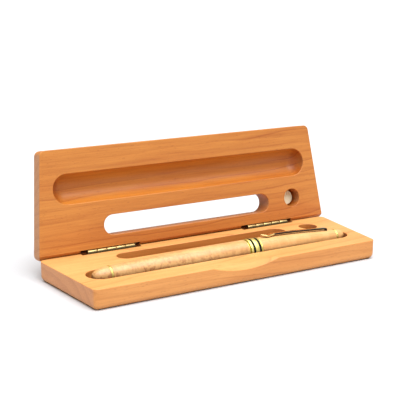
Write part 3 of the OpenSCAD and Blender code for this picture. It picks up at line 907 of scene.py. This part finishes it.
def make_hinges():
    """Both hinges, each as a leaf that rides on the base and one that rides on the lid."""
    for side, word in ((-1, "left"), (1, "right")):
        base_leaf = hinge_leaf(f"hinge_{word}_leaf_lower", side, 0, HINGE_BRASS)
        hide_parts(f"hinge_{word}_base_leaf")
        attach(base_leaf, "base")
        lid_leaf = hinge_leaf(f"hinge_{word}_leaf_upper", side, 1, HINGE_BRASS)
        lid_leaf.data.transform(opened())
        lid_leaf.data.flip_normals()
        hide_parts(f"hinge_{word}_lid_leaf")
        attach(lid_leaf, "lid")


# ---------------------------------------------------------------- the pen


def pen_piece(obj, slot, *nodes):
    """Hands a piece of the pen over in place of its CAD nodes."""
    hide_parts(*nodes)
    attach(obj, "pen")


def swell(t, end_r, full_r):
    """Radius that grows from end_r at t = 0 and levels out at full_r at t = 1."""
    return end_r + (full_r - end_r) * math.sin(math.pi / 2 * min(max(t, 0), 1))


def tube_outline(low, high, radius_at, bore, soft, steps):
    """Outline of a turned tube with softened outer ends and a straight bore."""
    points = [(low, bore), (low, radius_at(low) - soft)]
    for k in range(steps + 1):
        x = low + soft + (high - low - 2 * soft) * k / steps
        points.append((x, radius_at(x)))
    points += [(high, radius_at(high) - soft), (high, bore)]
    return points


def make_barrel():
    """Barrel that swells from its end and has its full radius from x = 0 on."""
    low, high = node_span("pen_barrel_wood")
    bore = node_radius("pen_barrel_liner")
    end_r = 4.5 * MM
    outline = tube_outline(low, high, lambda x: swell((x - low) / -low, end_r, PEN_R),
                           bore, 0.12 * MM, 40)
    pen_piece(lathe("pen_barrel", outline, BARREL_WOOD), "pen_wood", "pen_barrel_wood")


CAP_LOW_X, CAP_HIGH_X = node_span("pen_cap_wood")
CAP_END_R = 3.8 * MM
CAP_SPIGOT_R = 2.6 * MM


def cap_radius(x):
    """Outer radius of the cap's wood at a place along X."""
    return swell((CAP_HIGH_X - x) / (CAP_HIGH_X - CAP_LOW_X), CAP_END_R, PEN_R)


def make_cap():
    """Cap that tapers to its end, with a wide bore for its liner and a narrower one behind."""
    low, high = node_span("pen_cap_wood")
    bore = node_radius("pen_cap_liner")
    bore_end = node_span("pen_cap_liner")[1]
    outline = tube_outline(low, high, cap_radius, bore, 0.12 * MM, 36)
    outline[-1] = (high, CAP_SPIGOT_R)
    outline += [(bore_end, CAP_SPIGOT_R), (bore_end, bore)]
    pen_piece(lathe("pen_cap", outline, CAP_WOOD), "pen_wood", "pen_cap_wood")


def make_finial(name, node, ring_node, material, toward):
    """Blunt turned end; toward is -1 at the barrel's end and 1 at the cap's."""
    low, high = node_span(node)
    base_x = min(node_span(ring_node)) if toward < 0 else max(node_span(ring_node))
    tip_x = low if toward < 0 else high
    base_r = node_radius(node) - 0.02 * MM
    tip_r = 0.9 * MM
    length = abs(tip_x - base_x)
    outline = [(base_x, 0), (base_x, base_r - 0.3 * MM)]
    outline.append((base_x + toward * 0.15 * MM, base_r - 0.05 * MM))
    steps = 26
    for k in range(1, steps + 1):
        t = k / steps
        reach = length * math.sin(math.pi / 2 * t)
        radius = tip_r + (base_r - tip_r) * math.cos(math.pi / 2 * t)
        outline.append((base_x + toward * min(reach, length - 0.02 * MM), radius))
    outline += [(tip_x, 0.55 * tip_r), (tip_x, 0)]
    pen_piece(lathe(name, outline, material), "pen_wood", node)


END_RING_W = 1 * MM


def make_end_ring(name, node, x):
    """Gold ring with a full round bead between two narrow shoulders."""
    radius = node_radius(node)
    bead = 0.30 * MM
    bore = 1.8 * MM
    outline = [(x - END_RING_W / 2, bore), (x - END_RING_W / 2, radius - bead - 0.05 * MM)]
    outline += [(x - bead - 0.08 * MM, radius - bead)]
    outline += arc(x, radius - bead, bead, 180, 0, 12)
    outline += [(x + bead + 0.08 * MM, radius - bead)]
    outline += [(x + END_RING_W / 2, radius - bead - 0.05 * MM), (x + END_RING_W / 2, bore)]
    pen_piece(lathe(name, outline, TURNED_GOLD), "gold_plate", node)


def make_centre_band():
    """Gold band with a bead at each lip and a groove for each black ring."""
    low, high = node_span("pen_centre_band")
    radius = node_radius("pen_centre_band")
    bore = node_radius("pen_cap_liner") + 0.02 * MM
    first, last = node_span("pen_band_black_rings")
    ring_w = 1.3 * MM
    first -= 0.15 * MM
    last += 0.15 * MM
    depth = 0.45 * MM
    soft = 0.06 * MM
    lip_r = 0.28 * MM
    outline = [(low, bore), (low, radius - lip_r)]
    outline += arc(low + lip_r, radius - lip_r, lip_r, 180, 20, 8)
    outline += [(low + 2.1 * lip_r, radius - 0.14 * MM)]
    for start in (first, last - ring_w):
        outline += arc(start - soft, radius - soft, soft, 90, 0, 3)
        outline += [(start, radius - depth), (start + ring_w, radius - depth)]
        outline += arc(start + ring_w + soft, radius - soft, soft, 180, 90, 3)
    outline += [(high - 2.1 * lip_r, radius - 0.14 * MM)]
    outline += arc(high - lip_r, radius - lip_r, lip_r, 160, 0, 8)
    outline += [(high, bore)]
    pen_piece(lathe("pen_centre_band_gold", outline, TURNED_GOLD, 128), "gold_plate",
              "pen_centre_band")

    rings = []
    for index, start in enumerate((first, last - ring_w)):
        crown = 0.16 * MM
        middle = start + ring_w / 2
        outline = [(start + 0.02 * MM, radius - depth), (start + 0.02 * MM, radius - crown)]
        outline += arc(middle, radius - crown - 0.12 * MM, ring_w * 0.44, 165, 15, 8)[1:-1]
        outline = [(x, min(r, radius - 0.03 * MM)) for x, r in outline]
        outline += [(start + ring_w - 0.02 * MM, radius - crown)]
        outline += [(start + ring_w - 0.02 * MM, radius - depth)]
        rings.append(lathe(f"pen_black_ring_{index + 1}", outline, BLACK, 128))
    for ring in rings:
        pen_piece(ring, "black_enamel", "pen_band_black_rings")


def make_coupler():
    """Thin gold trim ring at the barrel's mouth, with the sleeve behind it."""
    low, high = node_span("pen_barrel_coupler")
    radius = node_radius("pen_barrel_coupler")
    sleeve = node_radius("pen_barrel_liner") - 0.35 * MM
    flange = high - 0.8 * MM
    bore = sleeve - 0.5 * MM
    outline = [(low, bore), (low, sleeve), (flange, sleeve), (flange, radius - 0.2 * MM)]
    bead = 0.2 * MM
    outline += arc(flange + bead, radius - bead, bead, 180, 0, 10)
    outline += [(flange + 2 * bead, radius - 0.9 * MM), (high, radius - 0.9 * MM), (high, bore)]
    pen_piece(lathe("pen_barrel_trim", outline, TURNED_GOLD), "gold_plate", "pen_barrel_coupler")


def clip_stations():
    """(place, height of the middle line, half width, half thickness) along the clip."""
    free_end = node_span("pen_clip")[0]
    root = node_span("pen_clip")[1] - 0.45 * MM
    gap = 1.05 * MM
    bend_r = 0.6 * MM
    top = cap_radius(root) + gap
    inside = CAP_SPIGOT_R + 0.15 * MM
    stations = []
    for k in range(5):
        stations.append((root, inside + (top - bend_r - inside) * k / 5, 1.05 * MM, 0.44 * MM))
    for k in range(8):
        turn = math.pi / 2 * k / 7
        stations.append((root - bend_r * (1 - math.cos(turn)), top - bend_r * (1 - math.sin(turn)),
                         1.08 * MM, 0.46 * MM))
    bar_start = root - bend_r
    steps = 56
    last = free_end + 0.3 * MM
    for k in range(1, steps + 1):
        x = bar_start + (last - bar_start) * k / steps
        from_tip = x - free_end
        spoon = math.exp(-((from_tip - 4.2 * MM) / (3.0 * MM)) ** 2)
        tip = math.exp(-(from_tip / (2.4 * MM)) ** 2)
        dip = math.exp(-((from_tip - 4.6 * MM) / (2.3 * MM)) ** 2)
        height = cap_radius(max(x, CAP_LOW_X)) + gap - 0.45 * MM * dip + 0.5 * MM * tip
        stations.append((x, height, (1.08 - 0.1 * tip + 0.8 * spoon) * MM,
                         (0.52 - 0.04 * spoon - 0.14 * tip) * MM))
    return stations


def make_clip():
    """Slender clip: a rounded bar that rises from the cap and ends in a small spoon."""
    stations = clip_stations()
    sides = 32
    rings = []
    for index, (x, height, half_w, half_t) in enumerate(stations):
        before = stations[max(index - 1, 0)]
        after = stations[min(index + 1, len(stations) - 1)]
        along = Vector((after[0] - before[0], 0, after[1] - before[1])).normalized()
        up = Vector((along.z, 0, -along.x))
        narrow = 1.0
        if index >= len(stations) - 4:
            narrow = (0.92, 0.78, 0.55, 0.25)[index - len(stations) + 4]
        ring = []
        for k in range(sides):
            turn = TAU * k / sides
            across = math.copysign(abs(math.cos(turn)) ** 0.4, math.cos(turn)) * half_w * narrow
            rise = math.copysign(abs(math.sin(turn)) ** 0.5, math.sin(turn)) * half_t * narrow ** 0.5
            ring.append(Vector((x, across, height)) + up * rise)
        rings.append([tuple(point) for point in ring])
    bm = loft(rings)
    bm.transform(Matrix.Translation((0, PEN_Y, PEN_Z)) @ Matrix.Rotation(-CLIP_TURN, 4, "X"))
    pen_piece(mesh_object("pen_pocket_clip", bm, CLIP_GOLD, 50), "gold_plate", "pen_clip")


def make_pen():
    make_barrel()
    make_cap()
    make_finial("pen_barrel_tip", "pen_barrel_finial", "pen_barrel_end_ring", BARREL_WOOD, -1)
    make_finial("pen_cap_tip", "pen_cap_finial", "pen_cap_end_ring", CAP_WOOD, 1)
    ring_low = node_span("pen_barrel_end_ring")[0]
    ring_high = node_span("pen_cap_end_ring")[1]
    make_end_ring("pen_barrel_ring", "pen_barrel_end_ring", ring_low + END_RING_W / 2)
    make_end_ring("pen_cap_ring", "pen_cap_end_ring", ring_high - END_RING_W / 2)
    make_centre_band()
    make_coupler()
    make_clip()


# ---------------------------------------------------------------- carried-over CAD nodes


def dress_cad_nodes():
    """Gives every CAD node that stays its material."""
    finishes = {
        "hinge_left_pin": HINGE_BRASS, "hinge_right_pin": HINGE_BRASS,
        "pen_barrel_liner": TUBE_BRASS, "pen_cap_liner": TUBE_BRASS,
        "pen_grip_section": GRIP_BLACK, "pen_nib": GOLD, "pen_feed": GRIP_BLACK,
        "pen_ink_cartridge": INK_BLUE, "pen_inner_cap": INNER_BLACK,
        "pen_cap_finial_screw": STEEL,
    }
    for node, finish in finishes.items():
        data = frame["nodes"][node].data
        data.materials.clear()
        data.materials.append(finish)


# ---------------------------------------------------------------- stage, light and camera


WORLD_COLOUR, WORLD_STRENGTH = (1.0, 0.95, 0.86, 1), 0.47
SUN_COLOUR, SUN_STRENGTH = (0.98, 1.0, 1.03), 5.5
SUN_SPREAD = math.radians(70)
SUN_FROM = Vector((0.0, -0.27, 1.0))
FLOOR_TONES = (0.55, 0.55, 0.56), (0.57, 0.57, 0.58)

# Fitted to the photo's corners and edges.
CAMERA_TARGET = Vector((-4, 12, 35)) * MM
CAMERA_DISTANCE = 495 * MM
CAMERA_HEADING = math.radians(30.05)
CAMERA_DROP = math.radians(13.72)
CAMERA_LENS = 84.3


def make_floor():
    """Plain pale ground just under the case."""
    g = Graph("white_floor")
    place = g.place.outputs["Object"]
    patch = g.noise(place, (3, 3, 3), 3.0)
    g.set(Base_Color=g.mix(patch, *FLOOR_TONES), Roughness=0.9)
    g.set(Specular_IOR_Level=0.1)
    bm = bmesh.new()
    bmesh.ops.create_grid(bm, x_segments=4, y_segments=4, size=9.0)
    floor = mesh_object("floor", bm, g.material)
    floor.location.z = -0.05 * MM


def make_light():
    """Soft light from all around and a broad one overhead."""
    world = bpy.data.worlds.new("studio")
    bpy.context.scene.world = world
    world.use_nodes = True
    background = world.node_tree.nodes["Background"]
    background.inputs["Color"].default_value = WORLD_COLOUR
    background.inputs["Strength"].default_value = WORLD_STRENGTH

    key = bpy.data.lights.new("overhead", "SUN")
    key.energy = SUN_STRENGTH
    key.angle = SUN_SPREAD
    key.color = SUN_COLOUR
    overhead = bpy.data.objects.new("overhead", key)
    overhead.rotation_euler = SUN_FROM.to_track_quat("Z", "Y").to_euler()
    bpy.context.scene.collection.objects.link(overhead)


def make_camera():
    """Looks down on the case from its front left."""
    level = math.cos(CAMERA_DROP)
    toward = Vector((math.sin(CAMERA_HEADING) * level, math.cos(CAMERA_HEADING) * level,
                     -math.sin(CAMERA_DROP)))
    data = bpy.data.cameras.new("camera")
    data.sensor_width = 36
    data.lens = CAMERA_LENS
    data.clip_start = 0.01
    data.clip_end = 50
    camera = bpy.data.objects.new("camera", data)
    camera.location = CAMERA_TARGET - toward * CAMERA_DISTANCE
    camera.rotation_euler = toward.to_track_quat("-Z", "Y").to_euler()
    bpy.context.scene.collection.objects.link(camera)
    bpy.context.scene.camera = camera


make_camera()
make_light()
make_floor()
make_base()
make_lid()
make_plug()
make_hinges()
make_pen()
dress_cad_nodes()
bpy.context.scene.view_settings.view_transform = "Standard"
